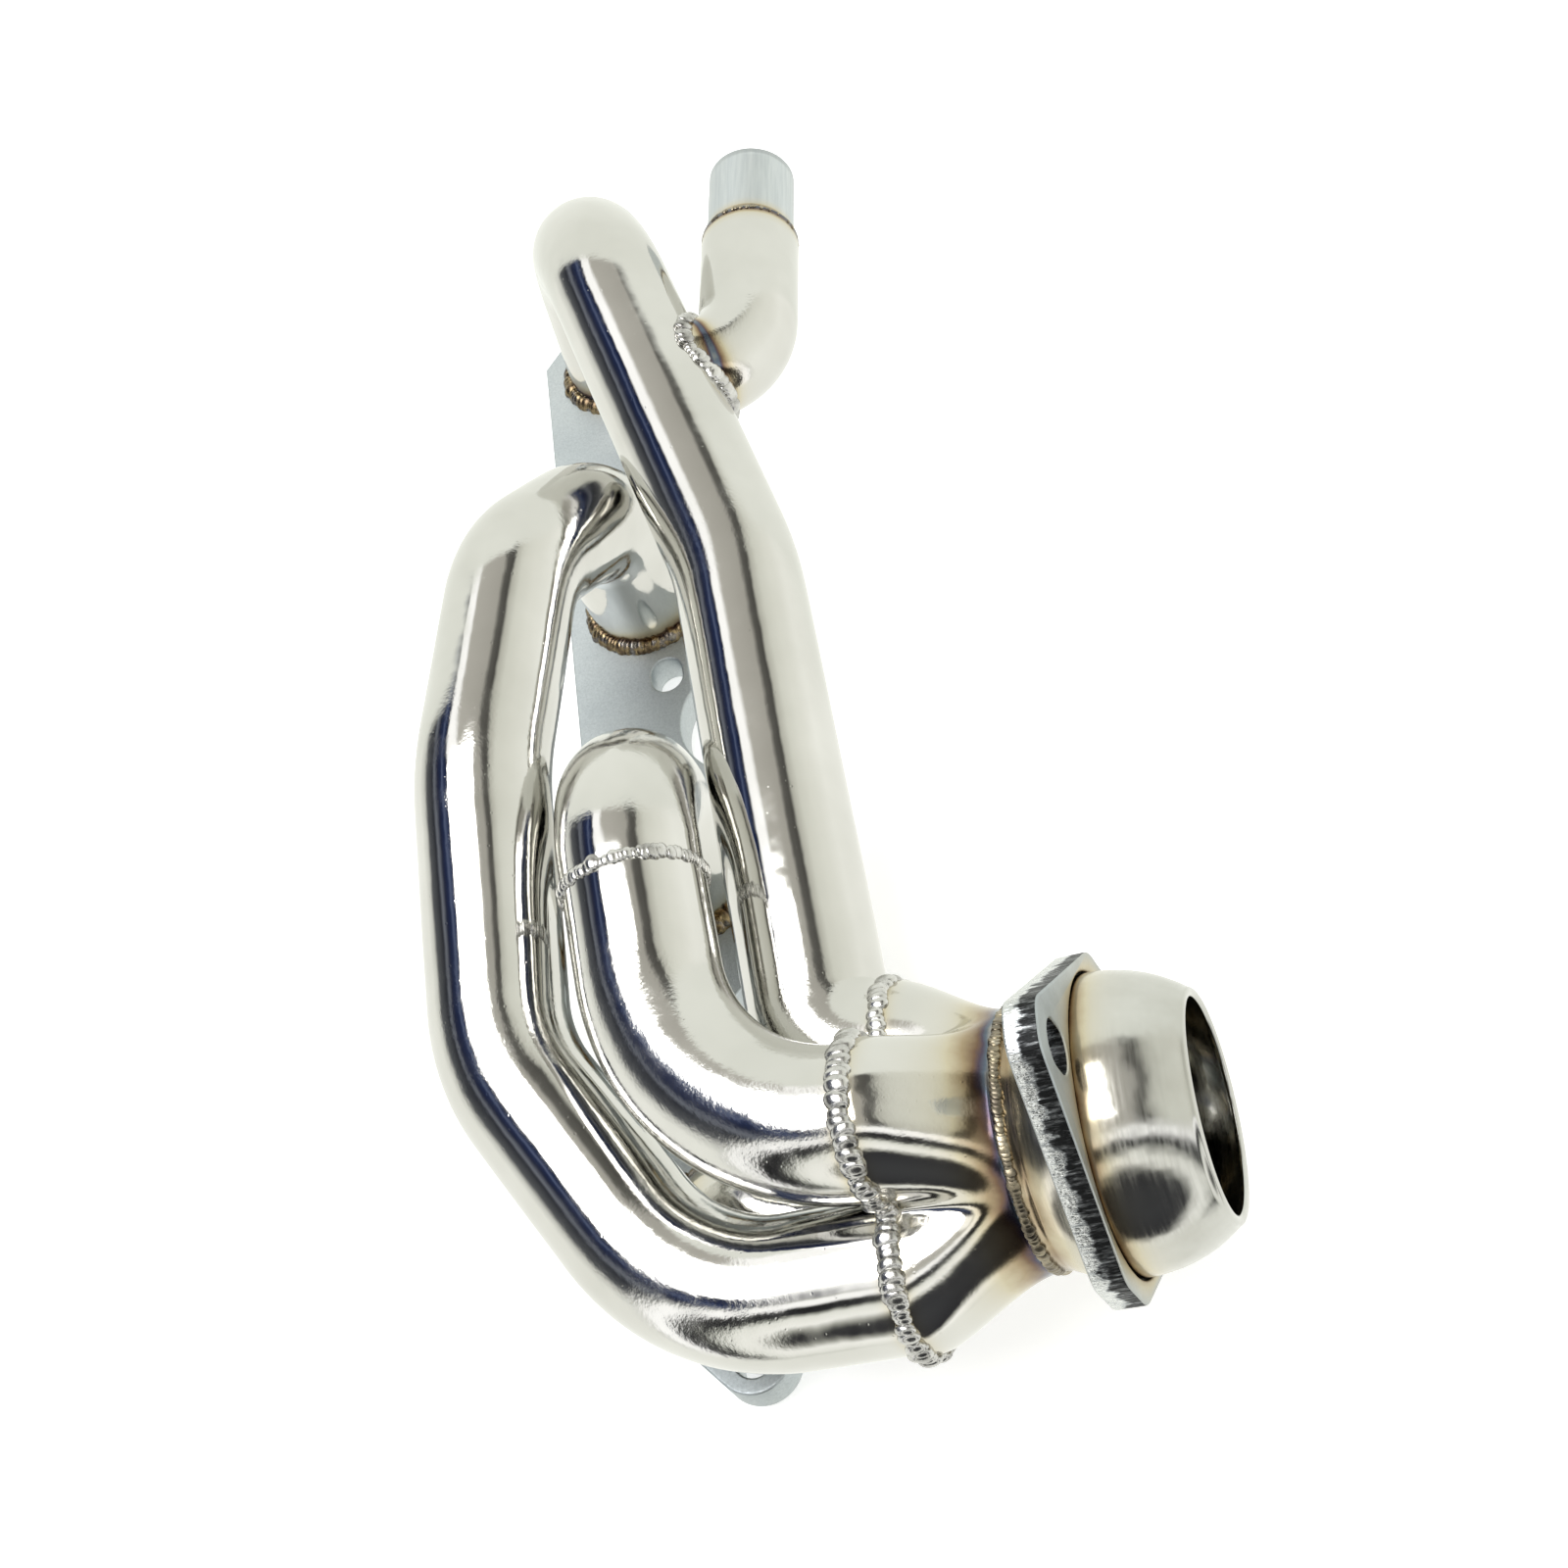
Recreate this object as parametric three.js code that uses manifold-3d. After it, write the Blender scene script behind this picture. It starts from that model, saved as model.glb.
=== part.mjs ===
// Exhaust manifold: four bent runners from a head flange into a formed collector, with a
// ball outlet, a loose two-bolt outlet flange and a small branch pipe on runner 1.
//
// Row frame, millimetres: X runs along the head flange, from port 1 to port 4; Y is the
// flange's outward normal and the gasket face lies at Y = 0; Z is up and the outlet hangs down.

import * as THREE from 'three';
import Module from 'manifold-3d';
import { ConvexGeometry } from 'three/addons/geometries/ConvexGeometry.js';
import { mergeVertices } from 'three/addons/utils/BufferGeometryUtils.js';

// ---------------------------------------------------------------- driving dimensions
const GAP = 0.3;                 // clearance left between pieces that touch
const WALL = 2;                  // wall of every tube

const TUBE_R = 38.1 / 2;         // runner outside radius
const BORE_R = TUBE_R - WALL;
const NEST_GAP = 0.93;           // between neighbouring runners in the collector
const SPREAD = TUBE_R / 19.05;   // corners and bends are given for this tube, and spread with it

const PLATE_T = 11;              // head flange thickness
const PORT_PITCH = 114;          // spacing of the ports along the flange
const PORT_X = [-1.5, -0.5, 0.5, 1.5].map((k) => k * PORT_PITCH);
const PLATE_TOP = TUBE_R + 9.45; // straight upper edge above the port line
const PLATE_BOTTOM = -TUBE_R - 8.45;    // lower edge
const PLATE_HALF = PORT_X[3] + 12;      // half length of the straight upper edge
const LUG_R = 11;                // rounded lug round each end bolt
const SCALLOP_R = 22;            // scallop cut between neighbouring ports
const BOLT_OFFSET = TUBE_R + 13.95;     // flange bolt from its port, along the flange
const BOLT_Z = -3;
const BOLT_SLOT = [13, 10.5];    // flange bolt slot, length and width

const ELBOW_R = 32 / 2;          // branch elbow outside radius
const STUB_R = ELBOW_R - 1.7;    // branch stub outside radius, a step inside the elbow
const STUB_WALL = 1.8;
const BEND_STEP = THREE.MathUtils.degToRad(16);

// centre of the collector's inlet
const INLET = new THREE.Vector3(PORT_X[3] + 11, PLATE_T + 41 * SPREAD, -61 * SPREAD);
const OUT = new THREE.Vector3(0.123, 0.123, -1).normalize(); // outlet axis, leans 7 deg each way
const LOBE_PITCH_R = (2 * TUBE_R + NEST_GAP) / Math.SQRT2;   // collector axis to each runner
const SOCKET_R = TUBE_R + 0.9;   // inlet lobe outside radius
const NECK_R = 63.5 / 2;         // round end of the collector
const COLLECTOR_L = 31;          // inlet to round end
const BALL_R = NECK_R + 4.25;    // outlet ball, swelling from the neck
const BALL_NECK = 4.03;          // collector's round end to where the ball swells
// ball centre, from the inlet
const BALL_AT = COLLECTOR_L + BALL_NECK + Math.sqrt(BALL_R ** 2 - NECK_R ** 2);
const MOUTH_R = 27.2;            // ball opening outside radius
const MOUTH_AT = BALL_AT + Math.sqrt(BALL_R ** 2 - MOUTH_R ** 2);
const RING_T = 8;                // outlet flange thickness
const RING_AT = BALL_AT - 8.5;   // outlet flange back face, from the inlet
const RING_FIT = 0.6;            // clearance round the ball
const EAR_BOLT = BALL_R + 10.5;  // flange axis to the bolt slot
const EAR_TIP = EAR_BOLT + 14.5; // flange axis to the clipped ear
const EAR_HALF = 5.5;            // half width of the clipped ear
const RING_HALF = BALL_R + 6;    // half width across the flats
const EAR_SLOT = [15, 11];

// ---------------------------------------------------------------- outlet frame
const SIDE = new THREE.Vector3(1, 0, 0).addScaledVector(OUT, -OUT.x).normalize();
const FRONT = new THREE.Vector3().crossVectors(SIDE, OUT);
if (FRONT.y < 0) FRONT.negate();

const v3 = (x, y, z) => new THREE.Vector3(x, y, z);
const onAxis = (s, side = 0, front = 0) =>
  INLET.clone().addScaledVector(OUT, s).addScaledVector(SIDE, side).addScaledVector(FRONT, front);
const LOBES = [[-1, 0], [1, 0], [0, 1], [0, -1]].map(([a, b]) => [a * LOBE_PITCH_R, b * LOBE_PITCH_R]);
// the lobes in runner order: 1 on the left, 2 on the right, 3 in front, 4 behind
const lobe = (n, s = 0) => onAxis(s, LOBES[n - 1][0], LOBES[n - 1][1]);

// ---------------------------------------------------------------- solids
const wasm = await Module();
wasm.setup();
const { Manifold } = wasm;

function solid(geometry) {
  const g = geometry.index ? geometry.toNonIndexed() : geometry.clone();
  g.deleteAttribute('normal');
  g.deleteAttribute('uv');
  const m = mergeVertices(g, 1e-4);
  const corners = m.index.array;
  const kept = [];
  for (let i = 0; i < corners.length; i += 3) {
    const [a, b, c] = corners.slice(i, i + 3);
    if (a !== b && b !== c && c !== a) kept.push(a, b, c);
  }
  return new Manifold(new wasm.Mesh({
    numProp: 3, vertProperties: Float32Array.from(m.attributes.position.array),
    triVerts: Uint32Array.from(kept),
  }));
}

function geometryOf(manifold) {
  const m = manifold.getMesh();
  const g = new THREE.BufferGeometry();
  const xyz = new Float32Array(m.numVert * 3);
  for (let i = 0; i < m.numVert; i++) {
    for (let k = 0; k < 3; k++) xyz[i * 3 + k] = m.vertProperties[i * m.numProp + k];
  }
  g.setAttribute('position', new THREE.BufferAttribute(xyz, 3));
  g.setIndex(new THREE.BufferAttribute(Uint32Array.from(m.triVerts), 1));
  g.computeVertexNormals();
  return g;
}

// A centreline of straights joined by round bends, sampled only where it turns.
class Route extends THREE.Curve {
  constructor(points, radii, step = BEND_STEP) {
    super();
    const at = [points[0].clone()];
    const along = [points[1].clone().sub(points[0]).normalize()];
    for (let i = 1; i < points.length - 1; i++) {
      const a = points[i].clone().sub(points[i - 1]).normalize();
      const b = points[i + 1].clone().sub(points[i]).normalize();
      const turn = a.angleTo(b);
      const r = radii[i - 1];
      const start = points[i].clone().addScaledVector(a, -r * Math.tan(turn / 2));
      const inward = b.clone().addScaledVector(a, -a.dot(b)).normalize();
      const n = Math.max(1, Math.ceil(turn / step));
      for (let k = 0; k <= n; k++) {
        const t = (turn * k) / n;
        at.push(start.clone().addScaledVector(a, r * Math.sin(t))
          .addScaledVector(inward, r * (1 - Math.cos(t))));
        along.push(a.clone().multiplyScalar(Math.cos(t)).addScaledVector(inward, Math.sin(t)));
      }
    }
    at.push(points.at(-1).clone());
    along.push(points.at(-1).clone().sub(points.at(-2)).normalize());
    const keep = at.map((p, i) => i === 0 || p.distanceTo(at[i - 1]) > 0.01);
    this.stations = at.filter((p, i) => keep[i]);
    this.directions = along.filter((p, i) => keep[i]);
  }
  get steps() { return this.stations.length - 1; }
  blend(list, u, target) {
    const x = u * this.steps;
    const i = Math.min(Math.floor(x), this.steps - 1);
    return target.copy(list[i]).lerp(list[i + 1], x - i);
  }
  getPoint(u, target = new THREE.Vector3()) { return this.blend(this.stations, u, target); }
  getPointAt(u, target = new THREE.Vector3()) { return this.blend(this.stations, u, target); }
  getTangent(u, target = new THREE.Vector3()) { return this.blend(this.directions, u, target).normalize(); }
  getTangentAt(u, target = new THREE.Vector3()) { return this.getTangent(u, target); }
  // The same route with a straight piece added or taken off at each end.
  stretched(before, after) {
    const r = Object.create(this);
    r.stations = this.stations.map((p) => p.clone());
    r.stations[0].addScaledVector(this.directions[0], -before);
    r.stations.at(-1).addScaledVector(this.directions.at(-1), after);
    return r;
  }
}

function ring(radius, segments) {
  return Array.from({ length: segments }, (_, i) => {
    const a = (2 * Math.PI * i) / segments;
    return new THREE.Vector2(radius * Math.cos(a), radius * Math.sin(a));
  });
}

function sweep(route, radius, bore = 0, segments = 18) {
  const shape = new THREE.Shape(ring(radius, segments));
  if (bore > 0) shape.holes.push(new THREE.Path(ring(bore, segments - 4)));
  return new THREE.ExtrudeGeometry(shape, { steps: route.steps, extrudePath: route, bevelEnabled: false });
}

// Turns a closed profile of [radius, height] about an axis through `centre`.
function turned(profile, centre, axis, segments = 32) {
  const points = profile.map(([r, h]) => new THREE.Vector2(r, h));
  if (THREE.ShapeUtils.area(points) < 0) points.reverse();
  const g = new THREE.LatheGeometry([...points, points[0].clone()], segments);
  const q = new THREE.Quaternion().setFromUnitVectors(v3(0, 1, 0), axis.clone().normalize());
  return solid(g.applyMatrix4(new THREE.Matrix4().compose(centre, q, v3(1, 1, 1))));
}

const ringPoints = (centre, axisA, axisB, radius, n) => ring(radius, n).map(
  (p) => centre.clone().addScaledVector(axisA, p.x).addScaledVector(axisB, p.y));

// A bead laid round a tube: half round outside, flat where it meets the tube.
function bead(radius, centre, axis, width, height, segments = 24) {
  const inner = radius + GAP;
  const profile = [[inner, -width / 2], [inner + height * 0.7, -width * 0.36], [inner + height, 0],
    [inner + height * 0.7, width * 0.36], [inner, width / 2]];
  return turned(profile, centre, axis, segments);
}

// A plate drawn in its own plane: `a` and `b` are the in-plane axes, `n` the thickness axis.
// Its holes are drilled through as separate solids.
function plate(shape, thickness, origin, a, b, n, curveSegments = 5) {
  const place = new THREE.Matrix4().makeBasis(a, b, n).setPosition(origin);
  const slab = (outline, from, depth) => solid(new THREE.ExtrudeGeometry(outline,
    { depth, bevelEnabled: false, curveSegments }).translate(0, 0, from).applyMatrix4(place));
  const drawn = (path) => new THREE.Shape(path.getPoints(curveSegments));
  const holes = shape.holes.map((h) => slab(drawn(h), -1, thickness + 2));
  return holes.reduce((out, h) => out.subtract(h), slab(drawn(shape), 0, thickness));
}

function slot(cx, cy, length, width, upright) {
  const p = new THREE.Path();
  const h = (length - width) / 2;
  const r = width / 2;
  if (upright) {
    p.absarc(cx, cy + h, r, 0, Math.PI, false);
    p.absarc(cx, cy - h, r, Math.PI, 2 * Math.PI, false);
  } else {
    p.absarc(cx + h, cy, r, -Math.PI / 2, Math.PI / 2, false);
    p.absarc(cx - h, cy, r, Math.PI / 2, 1.5 * Math.PI, false);
  }
  p.closePath();
  return p;
}

function circlePath(cx, cy, r, n) {
  return new THREE.Path(ring(r, n).map((p) => new THREE.Vector2(p.x + cx, p.y + cy)));
}

// ---------------------------------------------------------------- routes
const SEAT = PLATE_T + GAP;      // runner ends are trimmed just clear of the plate
const ROOT = PLATE_T - 5;        // and drawn from a little inside it
const END = -GAP;                // and of the collector's inlet
const above = (n, s) => lobe(n, -s);

const corner = (x, y, z) => v3(x, PLATE_T + y * SPREAD, z * SPREAD);
const runner = (port, first, others, radii) => {
  const n = LOBE_ABOVE[port - 1] * SPREAD;
  const corners = [v3(PORT_X[port - 1], ROOT, first), ...others, above(port, n), lobe(port, END)];
  return new Route(corners, radii.map((r) => r * SPREAD));
};
const LOBE_ABOVE = [21, 60, 50, 36];   // last corner of each runner above the collector
const knee1 = corner(PORT_X[0], 86, -12);
const hip1 = corner(PORT_X[2] - 65, 57, -44);
const route1 = runner(1, 0, [knee1, hip1], [50, 110, 22]);
const route2 = runner(2, 0, [corner(PORT_X[1], 47, 0), corner(PORT_X[1] + 39, 75, 18),
  corner(PORT_X[2] - 7, 71, 34), corner(INLET.x - 52, 51, 41)], [30, 40, 100, 50, 52]);
const route3 = runner(3, 0, [corner(PORT_X[2], 77, -6)], [34, 56]);
const route4 = runner(4, 3, [corner(PORT_X[3], 7, -7)], [22, 24]);

const BRANCH_X = 88;             // branch from port 1, along the flange
const BRANCH_ROOT = knee1.clone().lerp(hip1, BRANCH_X / (hip1.x - knee1.x));
const BRANCH_TURN = BRANCH_ROOT.clone().add(v3(0, -10.34, -28.72).multiplyScalar(SPREAD));
const BRANCH_DIR = v3(-1, 0, -0.148).normalize();
const BRANCH_L = 58;             // elbow corner to the stub joint
const STUB_L = 30;
const branchEnd = BRANCH_TURN.clone().addScaledVector(BRANCH_DIR, BRANCH_L);
const routeE = new Route([BRANCH_ROOT, BRANCH_TURN, branchEnd], [ELBOW_R + 9]);
const routeS = new Route([branchEnd.clone().addScaledVector(BRANCH_DIR, GAP),
  branchEnd.clone().addScaledVector(BRANCH_DIR, STUB_L)], []);

const tube = (route, radius, bore, segments) => solid(sweep(route, radius, bore, segments));
const grown = (route, radius, segments) => tube(route.stretched(3, 3), radius + GAP, 0, segments);

// ---------------------------------------------------------------- head flange
const outline = new THREE.Shape();
outline.moveTo(-PLATE_HALF, PLATE_TOP);
const lugX = PORT_X[3] + BOLT_OFFSET;
outline.absarc(-lugX, BOLT_Z, LUG_R, 2.3, 4.9, false);
outline.lineTo(-lugX + 12, PLATE_BOTTOM);
for (const x of [-1, 0, 1].map((k) => k * PORT_PITCH)) {
  outline.absarc(x, PLATE_BOTTOM, SCALLOP_R, Math.PI, 0, true);
}
outline.lineTo(lugX - 12, PLATE_BOTTOM);
outline.absarc(lugX, BOLT_Z, LUG_R, -1.76, 0.84, false);
outline.lineTo(PLATE_HALF, PLATE_TOP);
outline.closePath();
for (const x of PORT_X) {
  outline.holes.push(circlePath(x, 0, BORE_R, 20));
  for (const side of [-1, 1]) outline.holes.push(slot(x + side * BOLT_OFFSET, BOLT_Z, ...BOLT_SLOT, false));
}
const headFlange = plate(outline, PLATE_T, v3(0, PLATE_T, 0), v3(1, 0, 0), v3(0, 0, 1), v3(0, -1, 0));

// ---------------------------------------------------------------- runners
const belowPlate = solid(new THREE.BoxGeometry(600, 60, 200)).translate([0, SEAT - 30, 0]);
const branchBore = tube(routeE, ELBOW_R - WALL, 0, 14);
const runner1 = tube(route1, TUBE_R, BORE_R).subtract(belowPlate).subtract(branchBore);
const runner2 = tube(route2, TUBE_R, BORE_R).subtract(belowPlate);
const runner4 = tube(route4, TUBE_R, BORE_R).subtract(belowPlate);

// runner 3 is two tubes butted where its first bend ends
const bendEnd = route3.directions.findIndex((d, i) => i > 0 && d.dot(route3.directions[i + 1]) > 0.99999);
const dir3 = route3.directions[bendEnd].clone();
const joint3 = route3.stations[bendEnd].clone().addScaledVector(dir3, 8);
const halfSpace = (point, normal) => {
  const q = new THREE.Quaternion().setFromUnitVectors(v3(0, 0, 1), normal);
  const m = new THREE.Matrix4().compose(point.clone().addScaledVector(normal, 200), q, v3(1, 1, 1));
  return solid(new THREE.BoxGeometry(400, 400, 400).applyMatrix4(m));
};
const whole3 = tube(route3, TUBE_R, BORE_R).subtract(belowPlate);
const runner3Upper = whole3.subtract(halfSpace(joint3.clone().addScaledVector(dir3, -GAP / 2), dir3));
const runner3Lower = whole3.subtract(
  halfSpace(joint3.clone().addScaledVector(dir3, GAP / 2), dir3.clone().negate()));

// ---------------------------------------------------------------- branch
const clear1 = grown(route1, TUBE_R);
const elbow = tube(routeE, ELBOW_R, ELBOW_R - WALL, 18).subtract(clear1);
const stub = tube(routeS, STUB_R, STUB_R - STUB_WALL, 18);
const clearE = grown(routeE, ELBOW_R);

// the saddle weld follows the line where the elbow meets runner 1
function saddleWeld() {
  const start = BRANCH_ROOT;
  const axis = BRANCH_TURN.clone().sub(start).normalize();
  const u = v3(1, 0, 0).addScaledVector(axis, -axis.x).normalize();
  const w = new THREE.Vector3().crossVectors(axis, u);
  const leg = route1.stations.findIndex((p) => p.x > BRANCH_ROOT.x);
  const p0 = route1.stations[leg - 1];
  const d = route1.stations[leg].clone().sub(p0).normalize();
  const line = ringPoints(start, u, w, ELBOW_R + 1, 26).map((p) => {
    // slide along the elbow's axis until the point stands on the tube's skin
    const rel = p.clone().sub(p0);
    const a = rel.clone().addScaledVector(d, -rel.dot(d));
    const b = axis.clone().addScaledVector(d, -axis.dot(d));
    const A = b.lengthSq();
    const B = a.dot(b);
    const C = a.lengthSq() - (TUBE_R + 0.8) ** 2;
    return p.addScaledVector(axis, (-B + Math.sqrt(Math.max(B * B - A * C, 0))) / A);
  });
  const curve = new THREE.CatmullRomCurve3(line, true);
  return closedSweep(curve, 3.2, 22, 8);
}

// A bead along a closed line is swept in two halves that share their end rings.
function closedSweep(curve, radius, steps, sides) {
  const halves = [0, 0.5].map((from) => {
    const part = new (class extends THREE.Curve {
      getPoint(t, target = new THREE.Vector3()) { return curve.getPoint((from + t * 0.515) % 1, target); }
      getPointAt(t, target) { return this.getPoint(t, target); }
      getTangent(t, target = new THREE.Vector3()) {
        return target.copy(curve.getTangent((from + t * 0.515) % 1));
      }
      getTangentAt(t, target) { return this.getTangent(t, target); }
    })();
    return solid(new THREE.ExtrudeGeometry(new THREE.Shape(ring(radius, sides)),
      { steps: Math.round(steps / 2), extrudePath: part, bevelEnabled: false }));
  });
  return halves[0].add(halves[1]);
}
const branchSaddleWeld = saddleWeld().subtract(clear1).subtract(clearE).subtract(branchBore);
const branchStubWeld = turned([[STUB_R + GAP, GAP], [ELBOW_R + GAP, GAP], [ELBOW_R + GAP, -3.2],
  [ELBOW_R + 1.5, -1.4], [ELBOW_R + 0.9, 1.6], [STUB_R + 1.4, 4], [STUB_R + GAP, 4.4]],
branchEnd, BRANCH_DIR, 20);

// ---------------------------------------------------------------- port welds
// each follows the oval where its runner stands on the plate
function portWeld(route) {
  const lean = route.directions[0];
  const foot = route.stations[0].clone().addScaledVector(lean, (SEAT - route.stations[0].y) / lean.y);
  const oval = new THREE.CatmullRomCurve3(ring(TUBE_R + 0.5, 24).map(
    (p) => v3(foot.x + p.x, SEAT + 0.4, foot.z + p.y / lean.y)), true);
  return closedSweep(oval, 4.6, 24, 7).subtract(belowPlate).subtract(grown(route, TUBE_R));
}

// ---------------------------------------------------------------- collector
const hull = (points) => solid(new ConvexGeometry(points));
function lobed(socket, neck, from, to, n = 18) {
  // each lobe runs straight for a moment and then swells into the round end
  let out = null;
  for (const [a, b] of LOBES) {
    const one = hull([...ringPoints(onAxis(from, a, b), SIDE, FRONT, socket, n),
      ...ringPoints(onAxis(4, a * 0.96, b * 0.96), SIDE, FRONT, socket + 0.6, n),
      ...ringPoints(onAxis(to), SIDE, FRONT, neck, 2 * n)]);
    out = out ? out.add(one) : one;
  }
  return out;
}
const collectorSkin = lobed(SOCKET_R, NECK_R, 0, COLLECTOR_L);
const collector = collectorSkin.subtract(lobed(SOCKET_R - WALL, NECK_R - WALL, -0.01, COLLECTOR_L + 0.01));

// the bead round the four runners, left out where the tubes nest against each other
const ringAt = (n, r) => new THREE.TorusGeometry(TUBE_R + 1.9, r, 6, 22).applyMatrix4(
  new THREE.Matrix4().makeBasis(SIDE, FRONT, new THREE.Vector3().crossVectors(SIDE, FRONT))
    .setPosition(lobe(n, -0.5)));
let collectorWeld = [1, 2, 3, 4].map((n) => solid(ringAt(n, 3.4))).reduce((a, b) => a.add(b));
const nest = new THREE.Shape([[1, 0], [0, 1], [-1, 0], [0, -1]].map(
  ([a, b]) => new THREE.Vector2(a * (LOBE_PITCH_R + 1), b * (LOBE_PITCH_R + 1))));
const outward = new THREE.Vector3().crossVectors(SIDE, FRONT);
collectorWeld = collectorWeld
  .subtract(plate(nest, 24, onAxis(0).addScaledVector(outward, -12), SIDE, FRONT, outward))
  .subtract(lobed(SOCKET_R + GAP, NECK_R + GAP, -GAP * 0.5, COLLECTOR_L));
for (const r of [route1, route2, route3, route4]) collectorWeld = collectorWeld.subtract(grown(r, TUBE_R));

// ---------------------------------------------------------------- outlet
const ballProfile = (offset, n) => {
  const r = BALL_R - offset;
  const start = -Math.sqrt(r ** 2 - (NECK_R - offset) ** 2);
  const end = MOUTH_AT - BALL_AT;
  return Array.from({ length: n + 1 }, (_, i) => {
    const h = start + ((end - start) * (1 - Math.cos((Math.PI * i) / n))) / 2;
    return [Math.sqrt(r ** 2 - h ** 2), h];
  });
};
const neckStart = COLLECTOR_L + GAP - BALL_AT;
const outletBall = turned([[NECK_R, neckStart], ...ballProfile(0, 7), ...ballProfile(WALL, 5).reverse(),
  [NECK_R - WALL, neckStart]], onAxis(BALL_AT), OUT, 32);
const neckWeld = turned([[NECK_R + GAP, GAP], [NECK_R + GAP, 2.4], [NECK_R + 1.5, 4.4], [NECK_R + 2.6, 2.6],
  [NECK_R + 2.9, 0.4], [NECK_R + 2.3, -1.2], [NECK_R + 1.2, -1]], onAxis(COLLECTOR_L), OUT, 28);

// the loose flange: a cone-seated hole clears the ball all round
const ringShape = new THREE.Shape();
const flat = 9;
const corners = [[RING_HALF, -flat], [RING_HALF, flat], [EAR_HALF, EAR_TIP], [-EAR_HALF, EAR_TIP],
  [-RING_HALF, flat], [-RING_HALF, -flat], [-EAR_HALF, -EAR_TIP], [EAR_HALF, -EAR_TIP]];
corners.forEach(([x, y], i) => {
  // every corner is rounded with a quadratic nose
  const before = new THREE.Vector2(...corners[(i + 7) % 8]);
  const after = new THREE.Vector2(...corners[(i + 1) % 8]);
  const here = new THREE.Vector2(x, y);
  const a = here.clone().add(before.sub(here).setLength(4));
  const b = here.clone().add(after.sub(here).setLength(4));
  if (i === 0) ringShape.moveTo(a.x, a.y); else ringShape.lineTo(a.x, a.y);
  ringShape.quadraticCurveTo(x, y, b.x, b.y);
});
ringShape.closePath();
for (const side of [-1, 1]) ringShape.holes.push(slot(0, side * EAR_BOLT, ...EAR_SLOT, true));
const seatRadius = (s) => Math.sqrt(BALL_R ** 2 - (s - BALL_AT) ** 2) + RING_FIT;
const ringBack = RING_AT - BALL_AT;
const seat = turned([[0, ringBack - 1], [seatRadius(RING_AT), ringBack - 1],
  [seatRadius(RING_AT), ringBack], [seatRadius(RING_AT + RING_T), ringBack + RING_T],
  [seatRadius(RING_AT + RING_T), ringBack + RING_T + 1], [0, ringBack + RING_T + 1]],
onAxis(BALL_AT), OUT, 36);
const ringOrigin = onAxis(outward.dot(OUT) > 0 ? RING_AT : RING_AT + RING_T);
const outletFlange = plate(ringShape, RING_T, ringOrigin, SIDE, FRONT, outward, 5).subtract(seat);

// ---------------------------------------------------------------- assembly
const group = new THREE.Group();
const add = (name, manifold, color, roughness, metalness = 0.9) => {
  const mesh = new THREE.Mesh(geometryOf(manifold),
    new THREE.MeshStandardMaterial({ color, roughness, metalness }));
  mesh.name = name;
  group.add(mesh);
};
add('head_flange', headFlange, 0xb9c2c6, 0.55);
add('runner_1', runner1, 0xdfe0dc, 0.12);
add('runner_2', runner2, 0xdddeda, 0.12);
add('runner_3_upper', runner3Upper, 0xdfe0dc, 0.12);
add('runner_3_lower', runner3Lower, 0xdadbd7, 0.12);
add('runner_4', runner4, 0xd8d8d3, 0.14);
add('branch_elbow', elbow, 0xdedfda, 0.14);
add('branch_stub', stub, 0xc3cacd, 0.5);
add('port_weld_1', portWeld(route1), 0x9a7f5c, 0.4);
add('port_weld_2', portWeld(route2), 0x9a7f5c, 0.4);
add('port_weld_3', portWeld(route3), 0x9a7f5c, 0.4);
add('port_weld_4', portWeld(route4), 0x9a7f5c, 0.4);
add('runner_3_weld', bead(TUBE_R, joint3, dir3, 6, 2.2), 0xc9cac7, 0.3);
add('branch_saddle_weld', branchSaddleWeld, 0xbfc0bd, 0.3);
add('branch_stub_weld', branchStubWeld, 0x9b917f, 0.4);
add('collector', collector, 0xd5d5d0, 0.14);
add('collector_weld', collectorWeld, 0xc4c5c2, 0.3);
add('outlet_neck_weld', neckWeld, 0x8f7354, 0.4);
add('outlet_ball', outletBall, 0xcfcdc4, 0.3);
add('outlet_flange', outletFlange, 0xb4bbbe, 0.5);

export default group;
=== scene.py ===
"""An exhaust manifold in polished stainless steel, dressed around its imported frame.

Row frame, metres: X along the head flange from port 1 to port 4, Y the flange's outward
normal with the gasket face at Y = 0, Z up. Sizes below are in millimetres; `to_mesh` scales.
"""
import math

import bmesh
import bpy
from mathutils import Matrix, Vector, noise


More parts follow.
